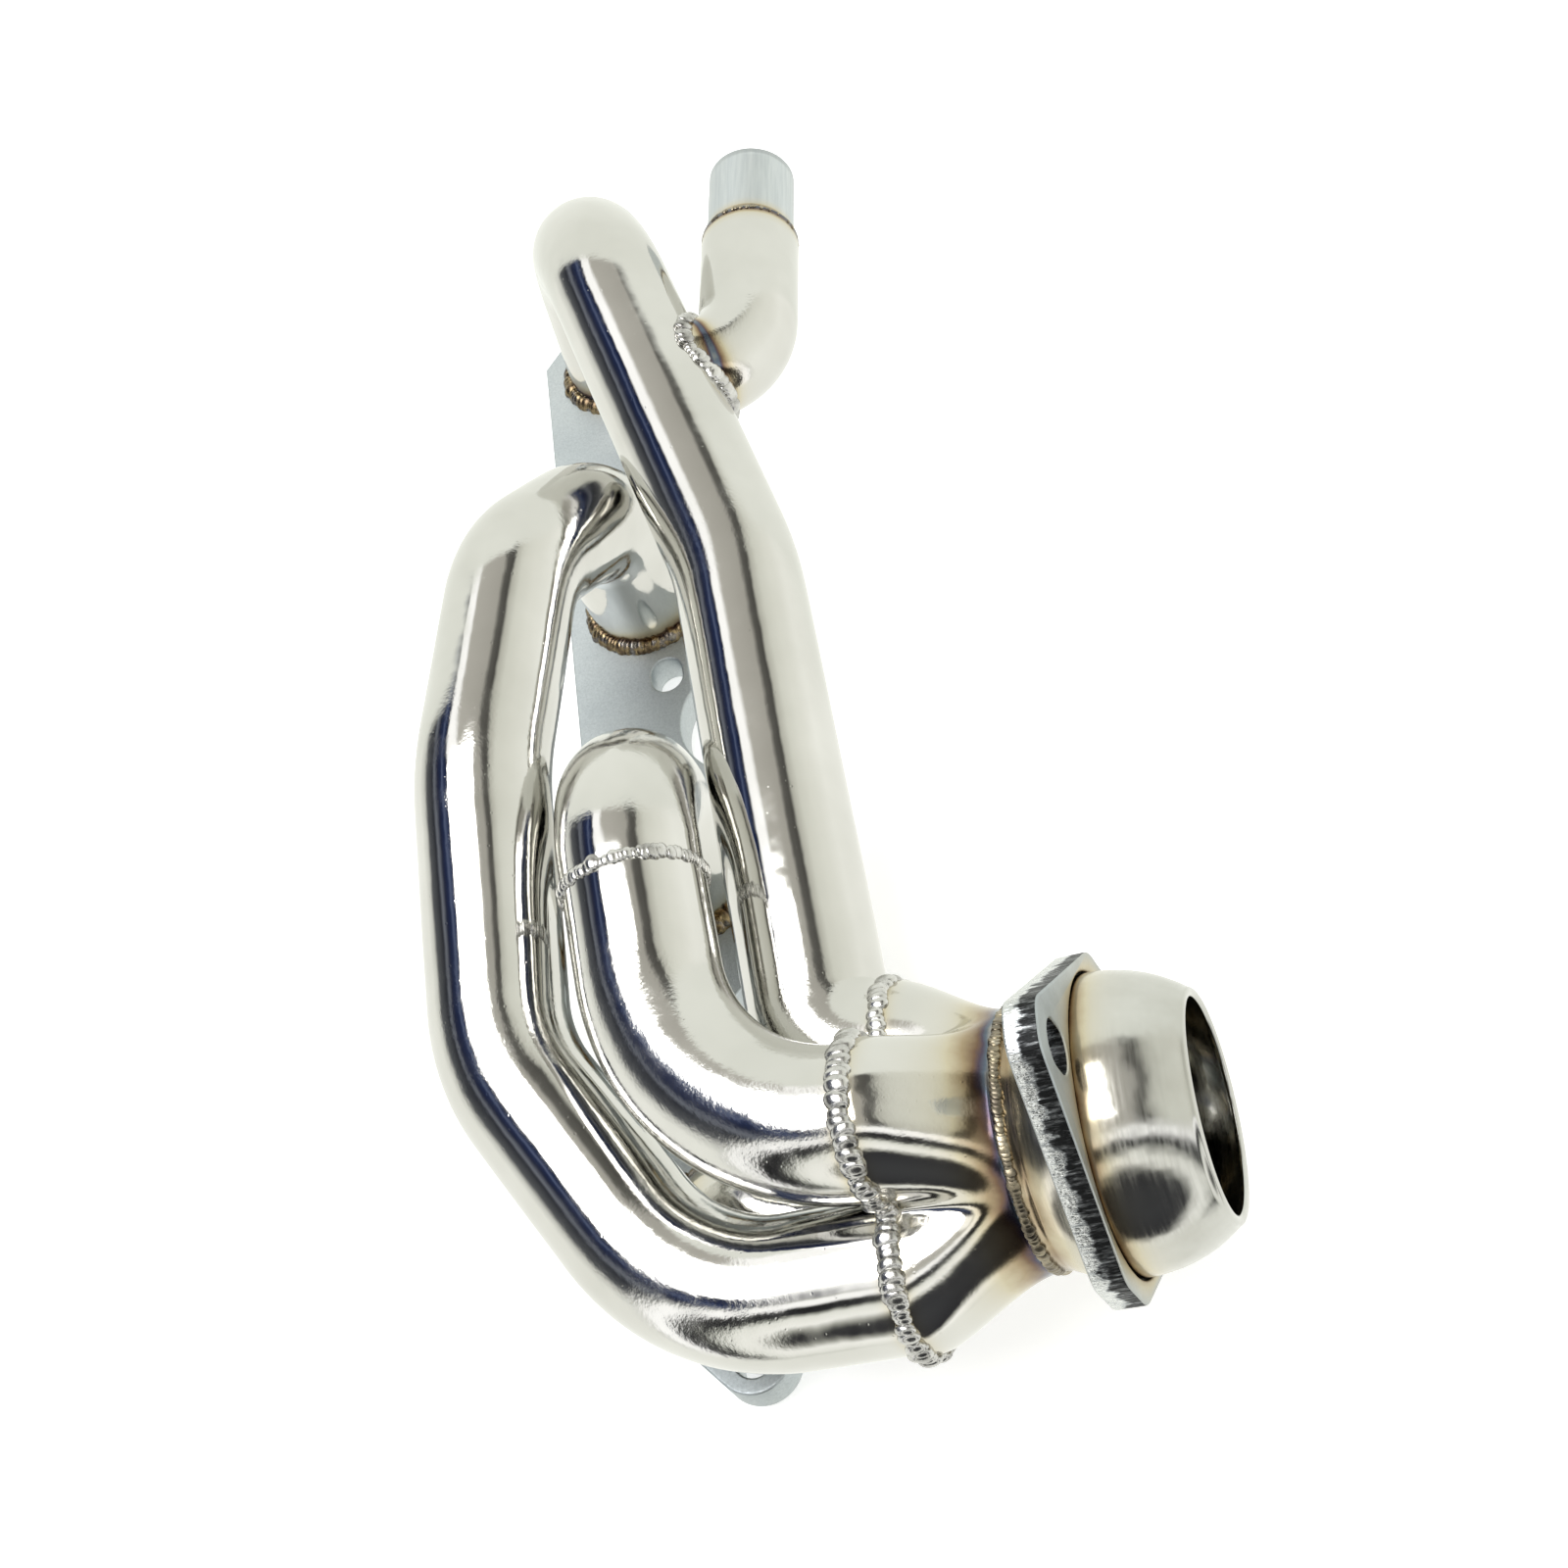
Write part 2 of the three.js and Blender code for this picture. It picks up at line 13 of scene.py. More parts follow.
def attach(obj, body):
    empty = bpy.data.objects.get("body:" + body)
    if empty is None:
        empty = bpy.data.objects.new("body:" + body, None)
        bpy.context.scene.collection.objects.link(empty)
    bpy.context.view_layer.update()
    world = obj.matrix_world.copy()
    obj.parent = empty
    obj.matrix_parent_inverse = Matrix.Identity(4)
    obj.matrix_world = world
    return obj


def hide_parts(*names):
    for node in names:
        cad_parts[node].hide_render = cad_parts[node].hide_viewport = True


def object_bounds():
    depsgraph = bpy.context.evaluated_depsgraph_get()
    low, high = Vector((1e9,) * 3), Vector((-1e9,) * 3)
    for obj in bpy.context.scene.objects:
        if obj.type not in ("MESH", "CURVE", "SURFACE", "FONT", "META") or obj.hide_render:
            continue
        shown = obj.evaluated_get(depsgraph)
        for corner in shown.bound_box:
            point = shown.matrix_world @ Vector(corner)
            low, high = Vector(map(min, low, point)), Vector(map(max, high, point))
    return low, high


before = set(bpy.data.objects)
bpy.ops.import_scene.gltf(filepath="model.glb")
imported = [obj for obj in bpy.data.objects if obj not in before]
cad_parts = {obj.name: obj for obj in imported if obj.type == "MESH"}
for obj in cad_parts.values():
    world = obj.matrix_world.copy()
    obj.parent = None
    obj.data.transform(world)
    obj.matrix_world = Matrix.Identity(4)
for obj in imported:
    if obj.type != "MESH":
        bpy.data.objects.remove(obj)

CAD_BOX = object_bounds()
MM = 0.001
TO_THE_END = 1e9

# ------------------------------------------------------------------ sizes, in millimetres
PLATE_T = 11
PORT_PITCH = 114
PORT_X = [k * PORT_PITCH for k in (-1.5, -0.5, 0.5, 1.5)]
PLATE_TOP, PLATE_BOTTOM, PLATE_HALF = 28.5, -27.5, 183
LUG_R, SCALLOP_R = 10.97, 22
BOLT_OFFSET, BOLT_Z, BOLT_SLOT = 33, -3, (13, 10.5)
TUBE_R, WALL = 38.1 / 2, 2
ELBOW_R, STUB_R, STUB_WALL = 16, 14.3, 1.8
LOBE_PITCH_R = 27.6
SOCKET_R = TUBE_R + 0.9
NECK_R, COLLECTOR_L = 63.5 / 2, 31
BALL_R, BALL_AT, MOUTH_R = 36, 52, 27.2
MOUTH_AT = BALL_AT + math.sqrt(BALL_R ** 2 - MOUTH_R ** 2)
RING_T, RING_AT, RING_FIT = 8, 43.5, 0.6
EAR_TIP, EAR_HALF, RING_HALF, RING_FLAT = 61, 5.5, 42, 9
EAR_BOLT, EAR_SLOT = 46.5, (15, 11)

# ------------------------------------------------------------------ the outlet's own axes
INLET = Vector((182, 52, -61))
OUT = Vector((0.123, 0.123, -1)).normalized()
SIDE = (Vector((1, 0, 0)) - OUT * OUT.x).normalized()
FRONT = OUT.cross(SIDE)
if FRONT.y < 0:
    FRONT.negate()


def on_axis(s, side=0.0, front=0.0):
    """A point s beyond the collector's inlet, offset across the axis."""
    return INLET + OUT * s + SIDE * side + FRONT * front


LOBES = [(-LOBE_PITCH_R, 0), (LOBE_PITCH_R, 0), (0, LOBE_PITCH_R), (0, -LOBE_PITCH_R)]


def lobe(runner, s=0.0):
    return on_axis(s, *LOBES[runner - 1])


# ------------------------------------------------------------------ centrelines
class Route:
    """Straights joined by round bends, with a station every few millimetres."""

    def __init__(self, corners, radii, bend_step=math.radians(2.2), straight_step=3.0):
        corners = [Vector(c) for c in corners]
        self.at, self.along, self.bend, self.inward = [], [], [], []
        here = corners[0]
        side = Vector((0, 0, 1))
        for i, radius in enumerate(radii, 1):
            a = (corners[i] - corners[i - 1]).normalized()
            b = (corners[i + 1] - corners[i]).normalized()
            turn = a.angle(b)
            side = (b - a * a.dot(b)).normalized()
            start = corners[i] - a * radius * math.tan(turn / 2)
            self._straight(here, start, a, side, straight_step)
            steps = max(2, math.ceil(turn / bend_step))
            for k in range(steps):
                t = turn * k / steps
                self._add(start + a * radius * math.sin(t) + side * radius * (1 - math.cos(t)),
                          a * math.cos(t) + side * math.sin(t), 1.0,
                          side * math.cos(t) - a * math.sin(t))
            here = start + a * radius * math.sin(turn) + side * radius * (1 - math.cos(turn))
            side = side * math.cos(turn) - a * math.sin(turn)
        last = (corners[-1] - corners[-2]).normalized()
        self._straight(here, corners[-1], last, side, straight_step)
        self._add(corners[-1], last, 0.0, side)
        self.length = [0.0]
        for p, q in zip(self.at, self.at[1:]):
            self.length.append(self.length[-1] + (q - p).length)

    def _add(self, p, d, bend, inward):
        self.at.append(p)
        self.along.append(d)
        self.bend.append(bend)
        self.inward.append(inward)

    def _straight(self, p, q, d, side, step):
        n = max(1, round((q - p).length / step))
        for k in range(n):
            self._add(p.lerp(q, k / n), d, 0.0, side)

    def cut(self, first, last):
        """The part between two lengths along the route, with a station at each cut."""
        part = object.__new__(Route)
        keep = [i for i, s in enumerate(self.length) if first <= s <= last]
        for key in ("at", "along", "bend", "inward", "length"):
            setattr(part, key, [getattr(self, key)[i] for i in keep])
        for edge, i, front in ((first, keep[0], True), (last, keep[-1], False)):
            gap = edge - self.length[i]
            if 0.01 < abs(gap) < 10:
                slot = 0 if front else len(part.at)
                part.at.insert(slot, self.at[i] + self.along[i] * gap)
                part.length.insert(slot, edge)
                for key in ("along", "bend", "inward"):
                    getattr(part, key).insert(slot, getattr(self, key)[i])
        return part


ROOT, SEAT, END = PLATE_T - 5, PLATE_T + 0.05, -0.3
ROUTES = {
    1: Route([(PORT_X[0], ROOT, 0), (PORT_X[0], 97, -12), (-8, 68, -44), lobe(1, -21), lobe(1, END)],
             [50, 110, 22]),
    2: Route([(PORT_X[1], ROOT, 0), (PORT_X[1], 58, 0), (-18, 86, 18), (50, 82, 34), (130, 62, 40.75),
              lobe(2, -60), lobe(2, END)], [30, 40, 100, 50, 52]),
    3: Route([(PORT_X[2], ROOT, 0), (PORT_X[2], 88, -6), lobe(3, -50), lobe(3, END)], [34, 56]),
    4: Route([(PORT_X[3], ROOT, 3), (PORT_X[3], 18, -7), lobe(4, -36), lobe(4, END)], [22, 24]),
}
BRANCH_ROOT, BRANCH_TURN = Vector((-83, 81.5, -29.5)), Vector((-83, 71, -58))
BRANCH_DIR = Vector((-1, 0, -0.148)).normalized()
BRANCH_L, STUB_L = 58, 30
BRANCH_END = BRANCH_TURN + BRANCH_DIR * BRANCH_L

# ------------------------------------------------------------------ colours and nodes


def srgb(code, alpha=1.0):
    """'#rrggbb' as linear RGBA."""
    parts = [int(code[i:i + 2], 16) / 255 for i in (1, 3, 5)]
    linear = [c / 12.92 if c <= 0.04045 else ((c + 0.055) / 1.055) ** 2.4 for c in parts]
    return (*linear, alpha)


def node(tree, kind, settings=None, **links):
    """Adds a node. Settings are its properties; links fill its inputs by name or by _index, with
    a socket to link from or a plain value."""
    made = tree.nodes.new(kind)
    for key, value in (settings or {}).items():
        setattr(made, key, value)
    for key, value in links.items():
        socket = made.inputs[int(key[1:])] if key[0] == "_" else made.inputs[key.replace("_", " ")]
        if isinstance(value, bpy.types.NodeSocket):
            tree.links.new(value, socket)
        else:
            socket.default_value = value
    return made


def ramp(tree, value, stops):
    """A colour ramp: stops are (place, '#rrggbb') or (place, grey)."""
    made = node(tree, "ShaderNodeValToRGB", _0=value)
    elements = made.color_ramp.elements
    while len(elements) < len(stops):
        elements.new(0.5)
    for element, (place, colour) in zip(elements, stops):
        element.position = place
        element.color = srgb(colour) if isinstance(colour, str) else (colour, colour, colour, 1)
    return made.outputs["Color"]


def material(name, **fixed):
    """A new material, its tree, its Principled shader with the fixed values, and where each point
    lies on the object."""
    made = bpy.data.materials.new(name)
    made.use_nodes = True
    tree = made.node_tree
    shader = tree.nodes["Principled BSDF"]
    for key, value in fixed.items():
        shader.inputs[key.replace("_", " ")].default_value = value
    place = node(tree, "ShaderNodeTexCoord").outputs["Object"]
    return made, tree, shader, place


def noise_of(tree, place, size_mm, detail=2.0, rough=0.5):
    """Noise whose blotches are about size_mm across."""
    return node(tree, "ShaderNodeTexNoise", Vector=place, Scale=1 / (size_mm * MM), Detail=detail,
                Roughness=rough).outputs["Fac"]


def spread(tree, value, low, high, out_low, out_high):
    """Carries the range low to high over to out_low to out_high."""
    return node(tree, "ShaderNodeMapRange", _0=value, _1=low, _2=high, _3=out_low,
                _4=out_high).outputs[0]


def attribute(tree, name):
    return node(tree, "ShaderNodeAttribute", {"attribute_name": name}).outputs["Fac"]


def mix(tree, factor, a, b):
    """Mixes two colours; a colour code or a socket each."""
    a, b = (srgb(c) if isinstance(c, str) else c for c in (a, b))
    return node(tree, "ShaderNodeMix", {"data_type": "RGBA"}, _0=factor, _6=a, _7=b).outputs[2]


def math_of(tree, kind, a, b=0.0):
    return node(tree, "ShaderNodeMath", {"operation": kind}, _0=a, _1=b).outputs[0]


def bump(tree, shader, *layers):
    """Stacks bump layers of (height, depth in mm) on a shader."""
    under = None
    for height, depth in layers:
        made = node(tree, "ShaderNodeBump", Height=height, Distance=depth * MM, Strength=1.0)
        if under:
            tree.links.new(under, made.inputs["Normal"])
        under = made.outputs["Normal"]
    tree.links.new(under, shader.inputs["Normal"])


# Temper colours of stainless steel, from bare metal to the heat right beside a weld.
HEAT_STOPS = [(0.0, "#d8d6d0"), (0.28, "#cfc6ad"), (0.45, "#a9977a"), (0.62, "#78614f"),
              (0.74, "#574d5b"), (0.86, "#616d7b"), (1.0, "#a7a39c")]


def heat_tint(tree, place, base):
    """Lays temper colours over a base colour, by the mesh's own warmth attribute."""
    uneven = spread(tree, noise_of(tree, place, 9, 3), 0.3, 0.7, -0.14, 0.14)
    heat = attribute(tree, "warmth")
    shifted = math_of(tree, "ADD", heat, math_of(tree, "MULTIPLY", uneven, heat))
    tinted = spread(tree, heat, 0.02, 0.30, 0.0, 1.0)
    return mix(tree, tinted, base, ramp(tree, shifted, HEAT_STOPS))


def polished_tube():
    """Mirror-polished stainless tube: near-mirror reflections that waver a little, small pits,
    and a satin grain where the mandrel stretched a bend."""
    made, tree, shader, place = material("stainless_mirror_polished", Metallic=1.0)
    cloud = spread(tree, noise_of(tree, place, 30, 3), 0.3, 0.7, 0.0, 1.0)
    base = mix(tree, cloud, "#dad9d5", "#cfcec9")
    tree.links.new(heat_tint(tree, place, base), shader.inputs["Base Color"])
    # satin grain: fine orange peel of the stretched wall
    bend = attribute(tree, "bend")
    grain = noise_of(tree, place, 0.9, 2)
    patches = spread(tree, noise_of(tree, place, 7, 2), 0.35, 0.65, 0.2, 1.0)
    frost = math_of(tree, "MULTIPLY", bend, patches)
    smear = spread(tree, noise_of(tree, place, 14, 4, 0.6), 0.35, 0.75, 0.05, 0.13)
    rough = math_of(tree, "ADD", smear, math_of(tree, "MULTIPLY", frost, 0.05))
    rough = math_of(tree, "ADD", rough, math_of(tree, "MULTIPLY", attribute(tree, "warmth"), 0.12))
    tree.links.new(rough, shader.inputs["Roughness"])
    cells = node(tree, "ShaderNodeTexVoronoi", Vector=place, Scale=1 / (3.2 * MM)).outputs["Distance"]
    pits = spread(tree, cells, 0.05, 0.12, 0.0, 1.0)
    bump(tree, shader, (noise_of(tree, place, 11, 2), 0.10),
         (math_of(tree, "MULTIPLY", grain, frost), 0.05), (pits, 0.012))
    return made


def blasted_plate():
    """Laser-cut stainless plate, bead blasted: flat grey with a fine even grain."""
    made, tree, shader, place = material("stainless_plate_blasted", Metallic=1.0)
    cloud = spread(tree, noise_of(tree, place, 22, 4), 0.3, 0.7, 0.0, 1.0)
    grain = noise_of(tree, place, 0.7, 3, 0.7)
    base = mix(tree, cloud, "#c3cacd", "#ced4d6")
    base = mix(tree, spread(tree, grain, 0.35, 0.7, 0.0, 0.35), base, "#a3abae")
    tree.links.new(base, shader.inputs["Base Color"])
    tree.links.new(spread(tree, grain, 0.3, 0.7, 0.42, 0.6), shader.inputs["Roughness"])
    bump(tree, shader, (grain, 0.06), (noise_of(tree, place, 2.4, 2), 0.05))
    return made


def plain_tube():
    """Drawn steel tube as it comes from the mill: pale grey, dull, faint streaks along its length."""
    made, tree, shader, place = material("steel_tube_drawn", Metallic=1.0)
    turn = BRANCH_DIR.to_track_quat("X", "Z").to_euler()
    along = node(tree, "ShaderNodeMapping", {"vector_type": "TEXTURE"}, Vector=place, Rotation=turn)
    streak = node(tree, "ShaderNodeMapping", Vector=along.outputs[0], Scale=(0.06, 1, 1)).outputs[0]
    lines = noise_of(tree, streak, 1.2, 3, 0.6)
    base = mix(tree, spread(tree, lines, 0.3, 0.7, 0.0, 1.0), "#d3d8da", "#c6cccf")
    tree.links.new(heat_tint(tree, place, base), shader.inputs["Base Color"])
    tree.links.new(spread(tree, lines, 0.3, 0.7, 0.33, 0.45), shader.inputs["Roughness"])
    bump(tree, shader, (lines, 0.02), (noise_of(tree, place, 0.8, 2), 0.02))
    return made


def weld_metal(name, stops, roughness):
    """TIG weld metal: frozen ripples with a soft shine; colour by how hot each patch stayed."""
    made, tree, shader, place = material(name, Metallic=1.0)
    patch = noise_of(tree, place, 6, 3, 0.6)
    tree.links.new(ramp(tree, patch, stops), shader.inputs["Base Color"])
    shine = noise_of(tree, place, 2, 2)
    tree.links.new(spread(tree, shine, 0.3, 0.7, roughness - 0.06, roughness + 0.1),
                   shader.inputs["Roughness"])
    bump(tree, shader, (noise_of(tree, place, 0.6, 3), 0.04))
    return made


def satin_ball():
    """Spun and satin-buffed stainless ball: soft reflections, fine rings round its axis, straw
    and brown temper colour at its foot."""
    made, tree, shader, place = material("stainless_spun_satin", Metallic=1.0)
    cloud = spread(tree, noise_of(tree, place, 16, 4), 0.3, 0.7, 0.0, 1.0)
    base = mix(tree, cloud, "#d2d2ce", "#c2c1bb")
    tree.links.new(heat_tint(tree, place, base), shader.inputs["Base Color"])
    turn = OUT.to_track_quat("Z", "Y").to_euler()
    local = node(tree, "ShaderNodeMapping", {"vector_type": "TEXTURE"}, Vector=place, Rotation=turn)
    rings = node(tree, "ShaderNodeMapping", Vector=local.outputs[0], Scale=(0.05, 0.05, 1)).outputs[0]
    lines = noise_of(tree, rings, 0.9, 3, 0.6)
    tree.links.new(spread(tree, lines, 0.3, 0.7, 0.11, 0.22), shader.inputs["Roughness"])
    bump(tree, shader, (lines, 0.006), (noise_of(tree, place, 9, 2), 0.16))
    return made


def cut_face():
    """Rolled plate face under a light blast: matt pale grey, clouded, tinted near the ball."""
    made, tree, shader, place = material("plate_face_matt", Metallic=1.0)
    cloud = spread(tree, noise_of(tree, place, 10, 4), 0.3, 0.7, 0.0, 1.0)
    base = mix(tree, cloud, "#bcc3c6", "#a9afb1")
    tree.links.new(heat_tint(tree, place, base), shader.inputs["Base Color"])
    grain = noise_of(tree, place, 0.8, 3, 0.7)
    tree.links.new(spread(tree, grain, 0.3, 0.7, 0.4, 0.58), shader.inputs["Roughness"])
    bump(tree, shader, (grain, 0.06))
    return made


def cut_edge():
    """Sheared edge of the same plate: fine drag lines across its thickness, a smooth burnished band along one
    side and a rough fractured band along the other, coloured with a painted highlight on the one and
    near-black painted shade on the other."""
    made, tree, shader, place = material("plate_edge_cut", Metallic=1.0)
    turn = OUT.to_track_quat("Z", "Y").to_euler()
    local = node(tree, "ShaderNodeMapping", {"vector_type": "TEXTURE"}, Vector=place,
                 Location=INLET * MM, Rotation=turn).outputs[0]
    lines = noise_of(tree, node(tree, "ShaderNodeMapping", Vector=local, Scale=(1, 1, 0.16)).outputs[0],
                     0.9, 3, 0.7)
    depth = node(tree, "ShaderNodeSeparateXYZ", _0=local).outputs["Z"]
    wander = spread(tree, noise_of(tree, place, 4, 3), 0.3, 0.7, -1.4 * MM, 1.4 * MM)
    # painted highlight and painted shade: across the thickness the edge runs from a bright grey to a
    # near-black grey, standing in for light and dark reflections; only the change in roughness is the real
    # finish
    fractured_side_and_painted_shade = math_of(tree, "SUBTRACT", math_of(tree, "ADD", depth, wander), (RING_AT + RING_T * 0.45) * MM)
    fractured_side_and_painted_shade = spread(tree, fractured_side_and_painted_shade, -0.8 * MM, 0.8 * MM, 0.0, 0.75)
    fracture_and_painted_reflection = math_of(tree, "ADD", fractured_side_and_painted_shade, spread(tree, lines, 0.35, 0.65, -0.3, 0.3))
    burnish_fracture_and_painted_reflection_greys = [(0.0, "#e6e8e7"), (0.3, "#c3c7c9"), (0.55, "#6b6d6f"), (0.8, "#2b2c2d")]
    tree.links.new(ramp(tree, fracture_and_painted_reflection, burnish_fracture_and_painted_reflection_greys), shader.inputs["Base Color"])
    tree.links.new(spread(tree, fracture_and_painted_reflection, 0.0, 0.8, 0.16, 0.5), shader.inputs["Roughness"])
    bump(tree, shader, (lines, 0.35), (noise_of(tree, place, 1.6, 2), 0.12))
    return made


MATERIALS = {
    "polished": polished_tube(),
    "plate": blasted_plate(),
    "stub": plain_tube(),
    "tinted": weld_metal("weld_bead_tempered",
                         [(0.30, "#463c35"), (0.42, "#75644f"), (0.50, "#9c8a68"), (0.58, "#77716d"),
                          (0.70, "#b3aea3")], 0.26),
    "smoked": weld_metal("weld_bead_ground_flush",
                         [(0.30, "#5d564c"), (0.46, "#8d8473"), (0.58, "#a79c84"), (0.70, "#c5c0b4")], 0.3),
    "silver": weld_metal("weld_bead_bright",
                         [(0.30, "#8d8b88"), (0.48, "#c8c7c4"), (0.66, "#dcdbd8")], 0.2),
    "ball": satin_ball(),
    "face": cut_face(),
    "edge": cut_edge(),
}

# ------------------------------------------------------------------ meshes


def to_mesh(name, points, faces, materials, smooth=None, attributes=None, face_material=None):
    """Makes an object from points in millimetres. smooth is a list of flags, one for each face."""
    data = bpy.data.meshes.new(name)
    data.from_pydata([Vector(p) * MM for p in points], [], faces)
    for kind in materials:
        data.materials.append(MATERIALS[kind])
    for key, values in (attributes or {}).items():
        data.attributes.new(key, "FLOAT", "POINT").data.foreach_set("value", values)
    if smooth is not None:
        data.polygons.foreach_set("use_smooth", smooth)
    if face_material is not None:
        data.polygons.foreach_set("material_index", face_material)
    data.validate()
    data.update()
    made = bpy.data.objects.new(name, data)
    bpy.context.collection.objects.link(made)
    return made


def outwards(obj):
    """Turns every face of a closed shell outwards."""
    work = bmesh.new()
    work.from_mesh(obj.data)
    bmesh.ops.recalc_face_normals(work, faces=work.faces)
    work.to_mesh(obj.data)
    work.free()
    return obj


def across(d, like=Vector((0, 0, 1))):
    """Two directions square to d."""
    a = (like - d * like.dot(d)).normalized()
    return a, d.cross(a)


def shell(name, outer, inner, kind, attributes):
    """A hollow body from two lists of rings: the outer skin, the inner skin and a rim at each end."""
    n, count = len(outer[0]), len(outer)
    points = [p for ring in outer for p in ring] + [p for ring in inner for p in ring]
    faces, smooth = [], []
    for layer, flip in ((0, False), (count * n, True)):
        for i in range(count - 1):
            for k in range(n):
                a, b = layer + i * n + k, layer + i * n + (k + 1) % n
                quad = [a, b, b + n, a + n]
                faces.append(quad[::-1] if flip else quad)
                smooth.append(True)
    for i in (0, count - 1):
        for k in range(n):
            a, b = i * n + k, i * n + (k + 1) % n
            faces.append([a, b, b + count * n, a + count * n])
            smooth.append(False)
    full = {key: values * 2 for key, values in attributes.items()}
    return outwards(to_mesh(name, points, faces, [kind], smooth, full))


def ripple(p, size, depth):
    """Gentle unevenness of a hand-worked wall, as a height in millimetres."""
    return depth * noise.noise(p / size)


def tube(name, route, radius, wall, kind, hot=(), foot=None, sides=72, oval=0.01, depth=0.09):
    """A round tube along a route. Bends are slightly oval. hot lists (length, reach) of each weld.
    foot maps a point and the tube's direction to where its first ring stands."""
    outer, inner, heat, bends = [], [], [], []
    a, _ = across(route.along[0], Vector((0.3, 0.2, 1)))
    for i, (at, d) in enumerate(zip(route.at, route.along)):
        a = (a - d * a.dot(d)).normalized()
        b = d.cross(a)
        near = range(max(0, i - 3), min(len(route.at), i + 4))
        bent = sum(route.bend[j] for j in near) / len(near)
        inward = route.inward[i]
        warmth = max([math.exp(-abs(route.length[i] - s) / reach) for s, reach in hot] or [0.0])
        ring, bore = [], []
        for k in range(sides):
            t = 2 * math.pi * k / sides
            u = a * math.cos(t) + b * math.sin(t)
            c = u.dot(inward)
            r = radius * (1 + oval * bent * (0.5 - c * c))
            p = at + u * r
            p += u * ripple(p, 26, depth) + u * ripple(p, 9, depth * 0.25)
            q = at + u * (r - wall)
            if foot and i == 0:
                p, q = foot(p, d), foot(q, d)
            ring.append(p)
            bore.append(q)
            heat.append(warmth)
            bends.append(bent)
        outer.append(ring)
        inner.append(bore)
    return shell(name, outer, inner, kind, {"warmth": heat, "bend": bends})


def on_plate(p, d):
    """Slides a point along the tube until it stands on the head flange."""
    return p + d * ((SEAT - p.y) / d.y)


def trimmed(route):
    """A runner's route from the first station clear of the flange."""
    clear = next(s for p, s in zip(route.at, route.length) if p.y > SEAT + 2)
    return route.cut(clear - 3.1, TO_THE_END)


# ------------------------------------------------------------------ weld beads, by geometry nodes


